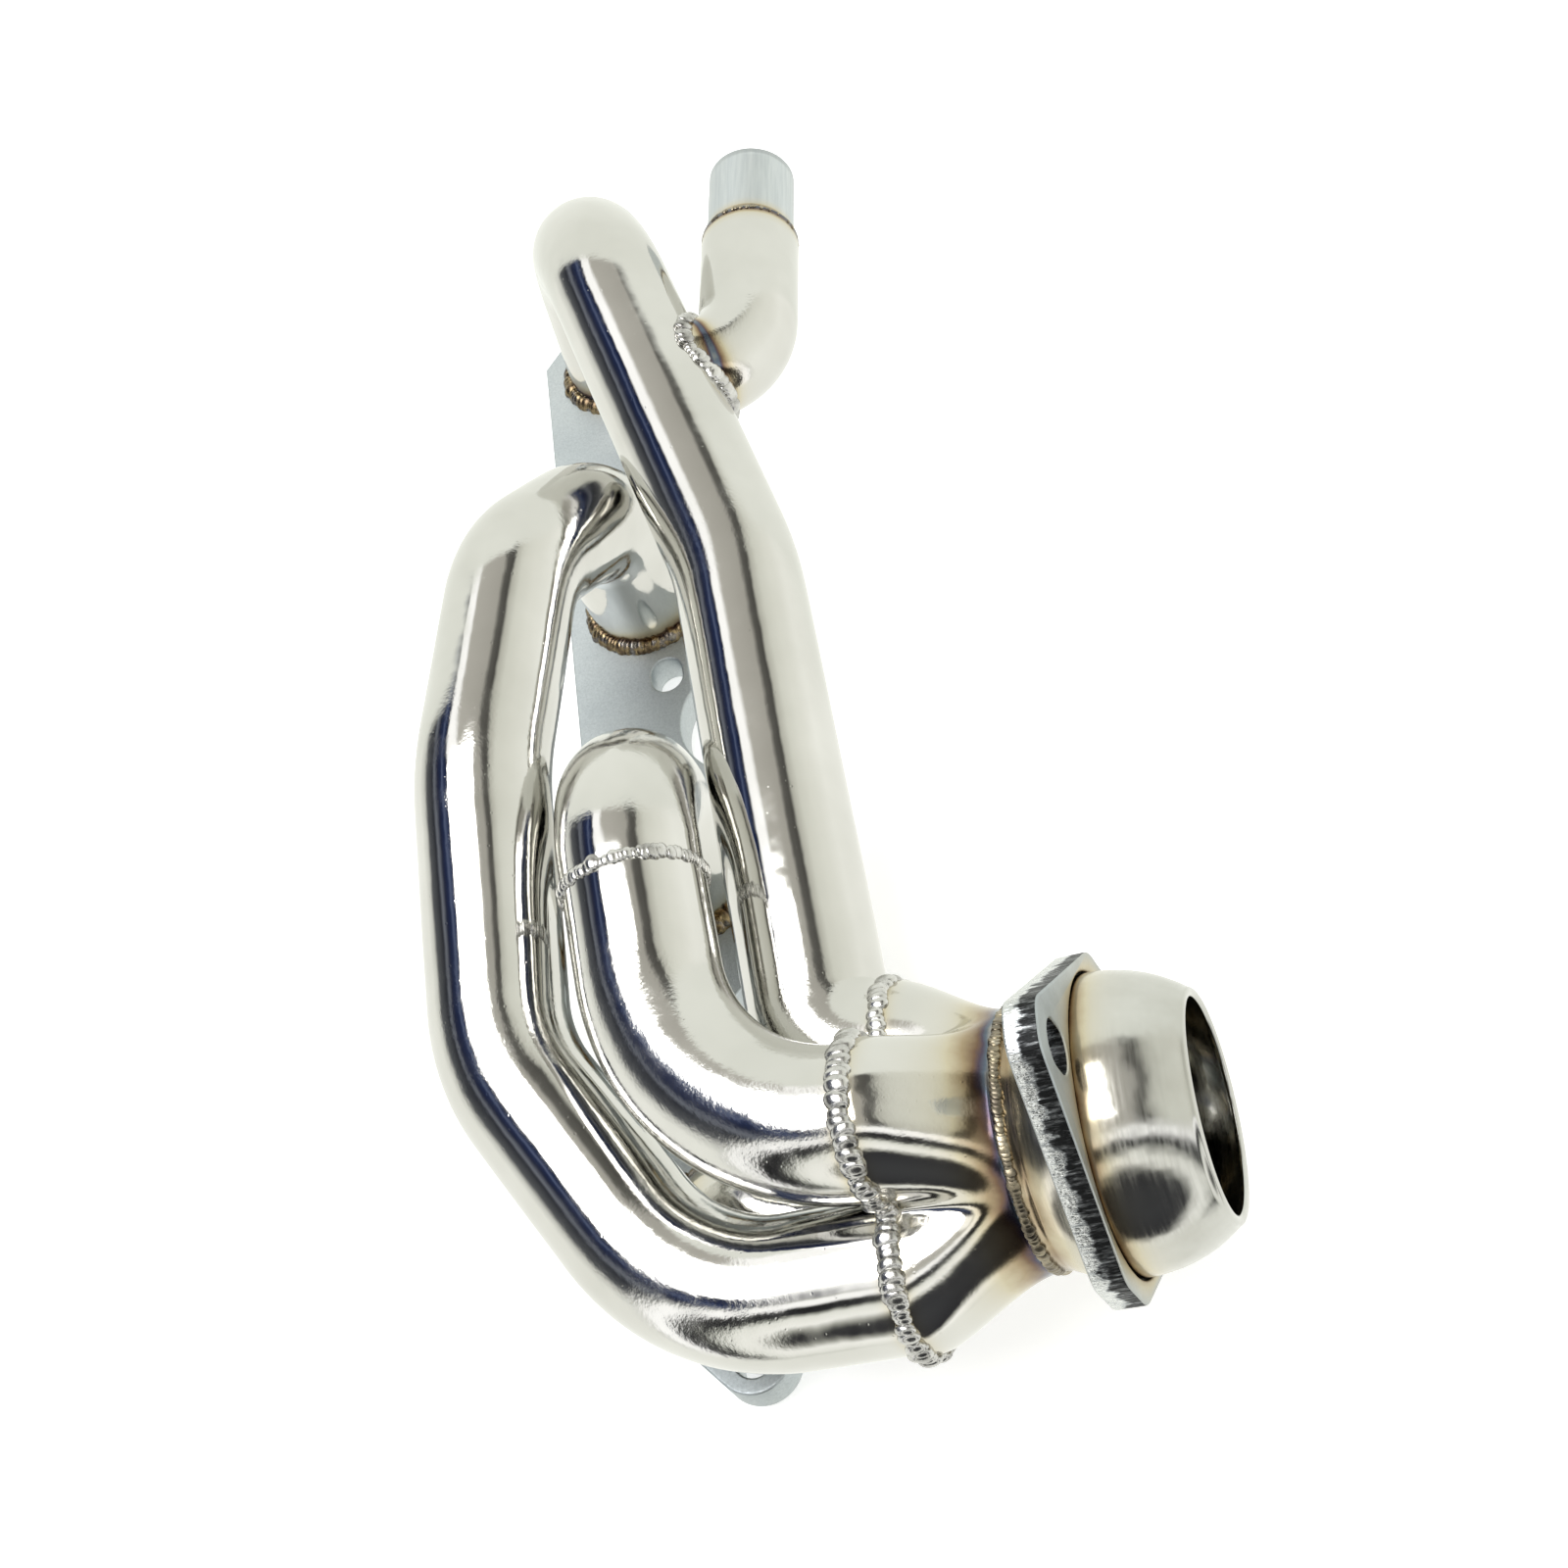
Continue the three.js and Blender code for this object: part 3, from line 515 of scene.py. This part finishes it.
def bead_tree():
    """Lays overlapping puddles along a line, as a welder's torch does, one step at a time."""
    tree = bpy.data.node_groups.new("puddle_by_puddle", "GeometryNodeTree")
    face = tree.interface
    face.new_socket("Line", in_out="INPUT", socket_type="NodeSocketGeometry")
    for key, value in (("Pitch", 0.0015), ("Half length", 0.0024), ("Half width", 0.0035),
                       ("Half height", 0.0018), ("Lean", 0.4), ("Unevenness", 0.12)):
        face.new_socket(key, in_out="INPUT", socket_type="NodeSocketFloat").default_value = value
    face.new_socket("Seed", in_out="INPUT", socket_type="NodeSocketInt")
    face.new_socket("Metal", in_out="INPUT", socket_type="NodeSocketMaterial")
    face.new_socket("Bead", in_out="OUTPUT", socket_type="NodeSocketGeometry")
    given = node(tree, "NodeGroupInput").outputs
    line = node(tree, "GeometryNodeMeshToCurve", _0=given["Line"]).outputs[0]
    steps = node(tree, "GeometryNodeResampleCurve", {"mode": "LENGTH"}, Curve=line,
                 Length=given["Pitch"])
    facing = node(tree, "GeometryNodeInputNamedAttribute", {"data_type": "FLOAT_VECTOR"}, Name="facing")
    up = node(tree, "FunctionNodeAlignRotationToVector", {"axis": "Z"}, Vector=facing.outputs[0])
    ahead = node(tree, "FunctionNodeAlignRotationToVector", {"axis": "X", "pivot_axis": "Z"},
                 Rotation=up.outputs[0], Vector=node(tree, "GeometryNodeInputTangent").outputs[0])
    seeds = [math_of(tree, "ADD", given["Seed"], float(k)) for k in (0, 100, 200, 300)]
    wobble = node(tree, "FunctionNodeRandomValue", {"data_type": "FLOAT"}, Seed=seeds[0],
                  _2=-0.16, _3=0.16)
    tilt = math_of(tree, "SUBTRACT", wobble.outputs[1], given["Lean"])
    yaw = node(tree, "FunctionNodeRandomValue", {"data_type": "FLOAT"}, Seed=seeds[1],
               _2=-0.35, _3=0.35)
    angle = node(tree, "ShaderNodeCombineXYZ", Y=tilt, Z=yaw.outputs[1])
    turn = node(tree, "FunctionNodeEulerToRotation", _0=angle.outputs[0])
    leaning = node(tree, "FunctionNodeRotateRotation", {"rotation_space": "LOCAL"},
                   Rotation=ahead.outputs[0], Rotate_By=turn.outputs[0])
    puddle = node(tree, "GeometryNodeMeshUVSphere", Segments=18, Rings=9, Radius=1.0)
    size = node(tree, "ShaderNodeCombineXYZ", X=given["Half length"], Y=given["Half width"],
                Z=given["Half height"])
    grow = node(tree, "FunctionNodeRandomValue", {"data_type": "FLOAT"}, Seed=seeds[2],
                _2=math_of(tree, "SUBTRACT", 1.0, given["Unevenness"]),
                _3=math_of(tree, "ADD", 1.0, given["Unevenness"]))
    scale = node(tree, "ShaderNodeVectorMath", {"operation": "SCALE"}, _0=size.outputs[0],
                 Scale=grow.outputs[1])
    stray = node(tree, "FunctionNodeRandomValue", {"data_type": "FLOAT_VECTOR"}, Seed=seeds[3],
                 _0=(-1, -1, -1), _1=(1, 1, 1))
    step = node(tree, "ShaderNodeVectorMath", {"operation": "SCALE"}, _0=stray.outputs[0],
                Scale=math_of(tree, "MULTIPLY", given["Unevenness"], given["Half height"]))
    placed = node(tree, "GeometryNodeSetPosition", _0=steps.outputs[0], Offset=step.outputs[0])
    laid = node(tree, "GeometryNodeInstanceOnPoints", Points=placed.outputs[0],
                Instance=puddle.outputs[0], Rotation=leaning.outputs[0], Scale=scale.outputs[0])
    real = node(tree, "GeometryNodeRealizeInstances", _0=laid.outputs[0])
    soft = node(tree, "GeometryNodeSetShadeSmooth", _0=real.outputs[0])
    dressed = node(tree, "GeometryNodeSetMaterial", Geometry=soft.outputs[0],
                   Material=given["Metal"])
    node(tree, "NodeGroupOutput", _0=dressed.outputs[0])
    return tree


BEAD_TREE = bead_tree()


def bead(name, line, facing, kind, seed, closed=True, **sizes):
    """A weld bead along a line of points, raised towards the facing directions."""
    n = len(line)
    data = bpy.data.meshes.new(name + "_line")
    edges = [(i, (i + 1) % n) for i in range(n if closed else n - 1)]
    data.from_pydata([Vector(p) * MM for p in line], edges, [])
    data.attributes.new("facing", "FLOAT_VECTOR", "POINT").data.foreach_set(
        "vector", [c for f in facing for c in f])
    carrier = bpy.data.objects.new(name + "_line", data)
    bpy.context.collection.objects.link(carrier)
    modifier = carrier.modifiers.new("bead", "NODES")
    modifier.node_group = BEAD_TREE
    chosen = {key.replace("_", " ").capitalize(): value * (1 if key in ("lean", "unevenness") else MM)
              for key, value in sizes.items()}
    for item in BEAD_TREE.interface.items_tree:
        if item.in_out == "INPUT" and item.socket_type != "NodeSocketGeometry":
            if item.name == "Seed":
                modifier[item.identifier] = seed
            elif item.name == "Metal":
                modifier[item.identifier] = MATERIALS[kind]
            elif item.name in chosen:
                modifier[item.identifier] = float(chosen[item.name])
    ready = carrier.evaluated_get(bpy.context.evaluated_depsgraph_get())
    result = bpy.data.meshes.new_from_object(ready)
    result.name = name
    bpy.data.objects.remove(carrier)
    made = bpy.data.objects.new(name, result)
    bpy.context.collection.objects.link(made)
    return made


def circle(centre, a, b, radius, n):
    return [centre + (a * math.cos(2 * math.pi * k / n) + b * math.sin(2 * math.pi * k / n)) * radius
            for k in range(n)]


def ring_bead(name, centre, axis, radius, kind, seed, lift=0.0, n=96, **sizes):
    """A bead round a tube. lift turns its face from straight out towards the axis."""
    a, b = across(axis)
    line = circle(centre, a, b, radius, n)
    facing = [((p - centre).normalized() * math.cos(lift) + axis * math.sin(lift)) for p in line]
    return bead(name, line, facing, kind, seed, **sizes)


# ------------------------------------------------------------------ flat plates


def arc(cx, cy, r, start, end, n):
    turns = [start + (end - start) * k / n for k in range(n + 1)]
    return [(cx + r * math.cos(t), cy + r * math.sin(t)) for t in turns]


def slot_outline(cx, cy, length, width, upright):
    h, r = (length - width) / 2, width / 2
    if upright:
        return arc(cx, cy + h, r, 0, math.pi, 14) + arc(cx, cy - h, r, math.pi, 2 * math.pi, 14)
    return (arc(cx + h, cy, r, -math.pi / 2, math.pi / 2, 14)
            + arc(cx - h, cy, r, math.pi / 2, 1.5 * math.pi, 14))


def plate(name, outlines, thickness, place, face_kind, edge_kind, edge_round):
    """A plate with rounded edges from flat outlines, the first the rim and the rest holes."""
    flat = bpy.data.curves.new(name, "CURVE")
    flat.dimensions, flat.fill_mode = "2D", "BOTH"
    flat.extrude = (thickness / 2 - edge_round) * MM
    flat.bevel_depth, flat.bevel_resolution, flat.offset = edge_round * MM, 3, -edge_round * MM
    for outline in outlines:
        spline = flat.splines.new("POLY")
        spline.points.add(len(outline) - 1)
        for point, (x, y) in zip(spline.points, outline):
            point.co = (x * MM, y * MM, 0, 1)
        spline.use_cyclic_u = True
    drawn = bpy.data.objects.new(name, flat)
    bpy.context.collection.objects.link(drawn)
    ready = drawn.evaluated_get(bpy.context.evaluated_depsgraph_get())
    data = bpy.data.meshes.new_from_object(ready)
    bpy.data.objects.remove(drawn)
    data.materials.clear()
    data.materials.append(MATERIALS[face_kind])
    data.materials.append(MATERIALS[edge_kind])
    made = bpy.data.objects.new(name, data)
    bpy.context.collection.objects.link(made)
    work = bmesh.new()
    work.from_mesh(data)
    bmesh.ops.remove_doubles(work, verts=work.verts, dist=1e-6)
    bmesh.ops.recalc_face_normals(work, faces=work.faces)
    for f in work.faces:
        lid = abs(f.normal.z) > 0.999
        f.smooth = not lid
        f.material_index = 0 if abs(f.normal.z) > 0.3 else 1
    work.to_mesh(data)
    work.free()
    data.transform(place)
    return made


def basis(a, b, n, origin):
    turn = Matrix((a, b, n)).transposed().to_4x4()
    turn.translation = origin * MM
    return turn


# ------------------------------------------------------------------ head flange
LUG_X = PORT_X[3] + BOLT_OFFSET
rim = [(-PLATE_HALF, PLATE_TOP)]
rim += arc(-LUG_X, BOLT_Z, LUG_R, 2.3, 4.9, 24) + [(-LUG_X + 12, PLATE_BOTTOM)]
for x in (-PORT_PITCH, 0, PORT_PITCH):
    rim += arc(x, PLATE_BOTTOM, SCALLOP_R, math.pi, 0, 40)
rim += [(LUG_X - 12, PLATE_BOTTOM)] + arc(LUG_X, BOLT_Z, LUG_R, -1.76, 0.84, 24)
rim += [(PLATE_HALF, PLATE_TOP)]
holes = [arc(x, 0, TUBE_R - WALL, 0, 2 * math.pi * 71 / 72, 71) for x in PORT_X]
holes += [slot_outline(x + k * BOLT_OFFSET, BOLT_Z, *BOLT_SLOT, False) for x in PORT_X for k in (-1, 1)]
X, Y, Z = Vector((1, 0, 0)), Vector((0, 1, 0)), Vector((0, 0, 1))
head = plate("head_plate", [rim] + holes, PLATE_T, basis(X, Z, -Y, Y * PLATE_T / 2),
             "plate", "plate", 0.7)

# ------------------------------------------------------------------ runners
pieces = {}
whole3 = ROUTES[3]
first_bend_end = max(i for i, s in enumerate(whole3.length) if whole3.bend[i] and s < 130)
JOINT_S = whole3.length[first_bend_end] + 8
for n in (1, 2, 4):
    route = trimmed(ROUTES[n])
    pieces[f"runner_{n}"] = tube(f"runner_{n}_tube", route, TUBE_R, WALL, "polished", foot=on_plate,
                                 hot=[(route.length[0], 5), (route.length[-1], 2)])
upper = trimmed(whole3.cut(0, JOINT_S))
lower = whole3.cut(JOINT_S, TO_THE_END)
pieces["runner_3_upper"] = tube("runner_3_upper_tube", upper, TUBE_R, WALL, "polished", foot=on_plate,
                                hot=[(upper.length[0], 5)])
pieces["runner_3_lower"] = tube("runner_3_lower_tube", lower, TUBE_R, WALL, "polished",
                                hot=[(lower.length[-1], 2)])

# ------------------------------------------------------------------ branch
leg = ROUTES[1]
near_leg = min(range(len(leg.at)), key=lambda i: (leg.at[i] - BRANCH_ROOT).length)
LEG_AT, LEG_DIR = leg.at[near_leg], leg.along[near_leg]


def on_runner_1(p, d, radius=TUBE_R - 0.4):
    """Slides a point along the elbow until it stands on runner 1's skin."""
    rel = p - LEG_AT
    a, b = rel - LEG_DIR * rel.dot(LEG_DIR), d - LEG_DIR * d.dot(LEG_DIR)
    half = a.dot(b)
    root = max(half * half - b.length_squared * (a.length_squared - radius ** 2), 0.0)
    return p + d * ((-half + math.sqrt(root)) / b.length_squared)


elbow_route = Route([BRANCH_ROOT, BRANCH_TURN, BRANCH_END], [25])
start = next(s for s in elbow_route.length if s > 8)
pieces["branch_elbow"] = tube("branch_elbow_tube", elbow_route.cut(start, TO_THE_END), ELBOW_R, WALL,
                              "polished", foot=on_runner_1,
                              hot=[(start + 8, 2.5), (elbow_route.length[-1], 2)])
stub_route = Route([BRANCH_END + BRANCH_DIR * 0.3, BRANCH_END + BRANCH_DIR * STUB_L], [])
pieces["branch_stub"] = tube("branch_stub_tube", stub_route, STUB_R, STUB_WALL, "stub",
                             hot=[(0, 2)], depth=0.04)

# ------------------------------------------------------------------ collector


def quatrefoil(tube_r, n=192, soften=3):
    """Radii of the outline round four nested tubes, its valleys rounded off."""
    sharp = []
    for k in range(n):
        best = 0.0
        for a, b in LOBES:
            turn = 2 * math.pi * k / n - math.atan2(b, a)
            reach, miss = LOBE_PITCH_R * math.cos(turn), LOBE_PITCH_R * math.sin(turn)
            if abs(miss) < tube_r and reach > 0:
                best = max(best, reach + math.sqrt(tube_r ** 2 - miss ** 2))
        sharp.append(best)
    near = range(-8, 9)
    weights = [math.exp(-(j / soften) ** 2) for j in near]
    return [sum(w * sharp[(k + j) % n] for w, j in zip(weights, near)) / sum(weights)
            for k in range(n)]


COLLECTOR_STEPS = 26


def around_outlet(s, radii):
    """A ring about the outlet axis, from its radii."""
    turns = [2 * math.pi * k / len(radii) for k in range(len(radii))]
    return [on_axis(s, math.cos(t) * r, math.sin(t) * r) for t, r in zip(turns, radii)]


def collector_rings(socket_r, neck_r):
    """Rings from the lobed inlet, straight for a moment, drawn smoothly into the round end."""
    start = quatrefoil(socket_r)
    rings = []
    for i in range(COLLECTOR_STEPS + 1):
        s = COLLECTOR_L * i / COLLECTOR_STEPS
        t = min(max((s - 2) / (COLLECTOR_L - 3), 0.0), 1.0)
        ease = t * t * (3 - 2 * t) * 0.45 + t * 0.55
        rings.append(around_outlet(s, [r * (1 - ease) + neck_r * ease for r in start]))
    return rings


outer = collector_rings(SOCKET_R, NECK_R)
inner = collector_rings(SOCKET_R - WALL, NECK_R - WALL)
per = len(outer[0])
warmth = []
for i in range(COLLECTOR_STEPS + 1):
    s = COLLECTOR_L * i / COLLECTOR_STEPS
    tint = max(0.5 * math.exp(-s / 3), 0.92 * math.exp((s - COLLECTOR_L) / 8))
    warmth += [tint] * per
pieces["collector"] = shell("collector_shell", outer, inner, "polished",
                            {"warmth": warmth, "bend": [0.4] * len(warmth)})

# ------------------------------------------------------------------ outlet ball and its loose flange


def turned(name, profile, kind, hot, segments=128):
    """A body turned about the outlet axis from a closed profile of (radius, place along the axis)."""
    n = len(profile)
    points, heat = [], []
    for k in range(segments):
        t = 2 * math.pi * k / segments
        for r, s in profile:
            points.append(on_axis(s, r * math.cos(t), r * math.sin(t)))
            heat.append(0.55 * max(math.exp(-abs(s - at) / reach) for at, reach in hot))
    faces = []
    for k in range(segments):
        here, there = k * n, (k + 1) % segments * n
        faces += [[here + i, there + i, there + (i + 1) % n, here + (i + 1) % n] for i in range(n)]
    return outwards(to_mesh(name, points, faces, [kind], [True] * len(faces),
                            {"warmth": heat, "bend": [0.0] * len(heat)}))


def ball_side(offset, n=48):
    r = BALL_R - offset
    first = -math.sqrt(r ** 2 - (NECK_R - offset) ** 2)
    last = MOUTH_AT - BALL_AT - 1
    heights = [first + (last - first) * i / n for i in range(n + 1)]
    return [(math.sqrt(r ** 2 - h ** 2), BALL_AT + h) for h in heights]


lip_in, lip_out = ball_side(WALL)[-1], ball_side(0)[-1]
lip_mid, lip_half = (lip_in[0] + lip_out[0]) / 2, (lip_out[0] - lip_in[0]) / 2
lip = [(lip_mid + math.cos(t) * lip_half, lip_out[1] + math.sin(t))
       for t in [math.pi * k / 8 for k in range(1, 8)]]
NECK_START = COLLECTOR_L + 0.3
profile = [(NECK_R, NECK_START)] + ball_side(0) + lip
profile += ball_side(WALL)[::-1] + [(NECK_R - WALL, NECK_START)]
pieces["outlet_ball"] = turned("ball_shell", profile, "ball",
                               [(COLLECTOR_L + 3, 7), (RING_AT + RING_T, 5)])


def rounded(corners, nose=4, n=6):
    """A polygon with every corner drawn as a soft nose."""
    out = []
    for i, c in enumerate(corners):
        here, before, after = Vector(c), Vector(corners[i - 1]), Vector(corners[(i + 1) % len(corners)])
        a = here + (before - here).normalized() * nose
        b = here + (after - here).normalized() * nose
        out += [tuple(a * (1 - t) ** 2 + here * 2 * t * (1 - t) + b * t * t)
                for t in (k / n for k in range(n + 1))]
    return out


corners = [(RING_HALF, -RING_FLAT), (RING_HALF, RING_FLAT), (EAR_HALF, EAR_TIP), (-EAR_HALF, EAR_TIP),
           (-RING_HALF, RING_FLAT), (-RING_HALF, -RING_FLAT), (-EAR_HALF, -EAR_TIP), (EAR_HALF, -EAR_TIP)]
hole_r = math.sqrt(BALL_R ** 2 - (RING_AT + RING_T - BALL_AT) ** 2) + RING_FIT
ring_holes = [arc(0, 0, hole_r, 0, 2 * math.pi * 95 / 96, 95)]
ring_holes += [slot_outline(0, k * EAR_BOLT, *EAR_SLOT, True) for k in (-1, 1)]
ring_n = SIDE.cross(FRONT)
pieces["outlet_flange"] = plate("clamp_plate", [rounded(corners)] + ring_holes, RING_T,
                                basis(SIDE, FRONT, ring_n, on_axis(RING_AT + RING_T / 2)),
                                "face", "edge", 0.6)
clamp = pieces["outlet_flange"].data
warmth = []
for v in clamp.vertices:
    rel = v.co / MM - INLET
    from_hole = math.hypot(rel.dot(SIDE), rel.dot(FRONT)) - hole_r
    warmth.append(0.36 * math.exp(-from_hole / 5))
clamp.attributes.new("warmth", "FLOAT", "POINT").data.foreach_set("value", warmth)

# ------------------------------------------------------------------ welds
for n in (1, 2, 3, 4):
    route = ROUTES[n]
    lean = route.along[0]
    foot = route.at[0] + lean * ((SEAT - route.at[0].y) / lean.y)
    line = [foot + Vector(((TUBE_R + 1.2) * math.cos(t), 1.0, (TUBE_R + 1.2) * math.sin(t) / lean.y))
            for t in [2 * math.pi * k / 96 for k in range(96)]]
    facing = [((p - foot).normalized() + Y).normalized() for p in line]
    pieces[f"port_weld_{n}"] = bead(f"port_bead_{n}", line, facing, "tinted", 10 + n, pitch=1.6,
                                    half_length=2.2, half_width=2.6, half_height=1.4, lean=0.42,
                                    unevenness=0.25)
joint = lower.at[0]
pieces["runner_3_weld"] = ring_bead("runner_3_bead", joint, lower.along[0], TUBE_R - 0.1, "silver", 21,
                                    pitch=1.2, half_length=1.7, half_width=2.0, half_height=1.0, lean=0.35,
                                    unevenness=0.3)
elbow_axis = (BRANCH_TURN - BRANCH_ROOT).normalized()
ea, eb = across(elbow_axis, X)
saddle, saddle_face = [], []
for p in circle(BRANCH_ROOT, ea, eb, ELBOW_R + 0.8, 96):
    q = on_runner_1(p, elbow_axis, TUBE_R + 0.8)
    rel = q - LEG_AT
    up = (rel - LEG_DIR * rel.dot(LEG_DIR)).normalized()
    saddle.append(q)
    saddle_face.append((up + (p - BRANCH_ROOT).normalized()).normalized())
pieces["branch_saddle_weld"] = bead("saddle_bead", saddle, saddle_face, "silver", 22, pitch=1.4,
                                    half_length=2.0, half_width=2.5, half_height=1.3, lean=0.4,
                                    unevenness=0.25)
pieces["branch_stub_weld"] = ring_bead("stub_bead", BRANCH_END + BRANCH_DIR * 0.4, BRANCH_DIR,
                                       ELBOW_R - 1.2, "smoked", 23, lift=0.6, pitch=0.9,
                                       half_length=1.3, half_width=1.7, half_height=0.9, lean=0.3)
outline = quatrefoil(TUBE_R + 1.0)
line = around_outlet(-0.6, outline)
facing = [(line[(k + 1) % per] - line[k - 1]).cross(OUT).normalized() for k in range(per)]
facing = [f if f.dot(p - on_axis(-0.6)) > 0 else -f for f, p in zip(facing, line)]
pieces["collector_weld"] = bead("collector_bead", line, facing, "silver", 24, pitch=1.3, half_length=2.1,
                                half_width=2.6, half_height=1.5, lean=0.4, unevenness=0.34)
pieces["outlet_neck_weld"] = ring_bead("neck_bead", on_axis(COLLECTOR_L + 1), OUT,
                                       NECK_R - 0.25, "smoked", 25, lift=0.3, pitch=1.1,
                                       half_length=1.6, half_width=1.5, half_height=0.6, lean=0.3,
                                       unevenness=0.2)
pieces["head_flange"] = head

# ------------------------------------------------------------------ bodies, with the imported parts they stand in for hidden
for name, piece in pieces.items():
    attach(piece, "loose_flange" if name == "outlet_flange" else "header")
    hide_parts(name)

# ------------------------------------------------------------------ camera, floor and light
CAMERA_AT = Vector((0.38886, 0.5023, -0.13846))
RIGHT, UP = Vector((0.132, -0.2941, -0.9466)), Vector((-0.8039, 0.527, -0.2758))
eye = bpy.data.cameras.new("eye")
eye.sensor_width, eye.lens = 36, 2050 / 1600 * 36
camera = bpy.data.objects.new("eye", eye)
turn = Matrix((RIGHT, UP, RIGHT.cross(UP))).transposed().to_4x4()
turn.translation = CAMERA_AT
camera.matrix_world = turn
bpy.context.collection.objects.link(camera)
bpy.context.scene.camera = camera

bpy.context.scene.view_settings.view_transform = "Standard"

# What the polished steel mirrors: cards and strip lights hung round the X axis. Angles are from
# straight above the flange (+Y) towards +Z; each stop is where one shade ends and the next starts.
CARDS = [(-180, "#e0e1db"), (-95, "#e8e9e3"), (-64, "#dcddd5"), (-43, "#d0d1c8"), (-32, "#b2b2a9"),
         (-28, "#474643"), (-21, "#595854"), (-17, "#a3a19a"), (18, "#aeaca5"), (22, "#ffffff"),
         (34, "#ffffff"), (36, "#141a2e"), (41, "#202a49"), (45, "#515b77"), (47, "#1d2746"), (54, "#24283a"),
         (60, "#6b6f78"), (64, "#2a2c33"), (78, "#55575a"), (86, "#c4c5c0"), (98, "#e4e5df"),
         (180, "#e0e1db")]


def studio_world():
    """White to the eye; to a reflection, the ring of cards, with an even pale end at -X and an
    open doorway, dark beyond its white frame, at +X."""
    made = bpy.data.worlds.new("studio")
    made.use_nodes = True
    tree = made.node_tree
    tree.nodes.clear()
    way = node(tree, "ShaderNodeTexCoord").outputs["Generated"]
    split = node(tree, "ShaderNodeSeparateXYZ", _0=way).outputs
    angle = math_of(tree, "ARCTAN2", split["Z"], split["Y"])
    waver = node(tree, "ShaderNodeTexNoise", Vector=way, Scale=2.2, Detail=1.0).outputs["Fac"]
    angle = math_of(tree, "ADD", angle, spread(tree, waver, 0.3, 0.7, -0.07, 0.07))
    ring = ramp(tree, spread(tree, angle, -math.pi, math.pi, 0.0, 1.0),
                [((a + 180) / 360, colour) for a, colour in CARDS])
    end = spread(tree, split["X"], -0.585, -0.64, 0.0, 1.0)
    cards = mix(tree, end, ring, "#dddfd8")
    doorway = ramp(tree, spread(tree, split["X"], 0.4, 1.0, 0.0, 1.0),
                   [(0.0, 0.6), (0.10, "#b9bab4"), (0.16, "#ffffff"), (0.27, "#ffffff"),
                    (0.33, "#1c1c1d"), (0.46, "#2b2b2d"), (0.50, "#8f918a"),
                    (0.56, "#e4e5df"), (0.70, "#f4f4f0"),
                    (0.76, "#9b9c95"), (0.80, "#2c2c2f"), (1.0, "#3a3b3d")])
    lit = math_of(tree, "MULTIPLY", spread(tree, split["X"], 0.42, 0.48, 0.0, 1.0),
                  spread(tree, split["Y"], -0.62, -0.5, 0.0, 1.0))
    cards = mix(tree, lit, cards, doorway)
    mirrored = node(tree, "ShaderNodeBackground", Color=cards, Strength=1.45)
    plain = node(tree, "ShaderNodeBackground", Color=srgb("#ffffff"), Strength=1.0)
    seen = node(tree, "ShaderNodeLightPath").outputs["Is Camera Ray"]
    both = node(tree, "ShaderNodeMixShader", _0=seen, _1=mirrored.outputs[0], _2=plain.outputs[0])
    node(tree, "ShaderNodeOutputWorld", Surface=both.outputs[0])
    return made


bpy.context.scene.world = studio_world()


def white_floor():
    """Matt white studio paint, lit to near white; seen from behind it is clear."""
    made, tree, shader, place = material("floor_paint_white", Roughness=0.9,
                                         Emission_Color=srgb("#ffffff"), Emission_Strength=0.55)
    cloud = noise_of(tree, place, 400, 2)
    tree.links.new(mix(tree, cloud, "#f4f4f3", "#efefee"), shader.inputs["Base Color"])
    clear = node(tree, "ShaderNodeBsdfTransparent")
    behind = node(tree, "ShaderNodeNewGeometry").outputs["Backfacing"]
    both = node(tree, "ShaderNodeMixShader", _0=behind, _1=shader.outputs[0], _2=clear.outputs[0])
    tree.links.new(both.outputs[0], tree.nodes["Material Output"].inputs["Surface"])
    return made


FLOOR_HALF = 3.0
floor_y = CAD_BOX[0].y - MM
floor_data = bpy.data.meshes.new("floor")
floor_corners = [(-1, -1), (-1, 1), (1, 1), (1, -1)]
floor_data.from_pydata([(x * FLOOR_HALF, floor_y, z * FLOOR_HALF) for x, z in floor_corners],
                       [], [[0, 1, 2, 3]])
floor_data.materials.append(white_floor())
floor = bpy.data.objects.new("floor", floor_data)
floor.visible_glossy = False
bpy.context.collection.objects.link(floor)


def softbox(name, at, aim, size, power):
    lamp = bpy.data.lights.new(name, "AREA")
    lamp.shape, lamp.size, lamp.size_y = "RECTANGLE", size[0], size[1]
    lamp.energy = power
    made = bpy.data.objects.new(name, lamp)
    made.location = at
    made.rotation_mode = "QUATERNION"
    made.rotation_quaternion = (Vector(at) - Vector(aim)).to_track_quat("Z", "Y")
    bpy.context.collection.objects.link(made)
    return made


softbox("key", (0.1, 1.2, 0.3), (0, 0.05, -0.03), (0.9, 0.9), 12)
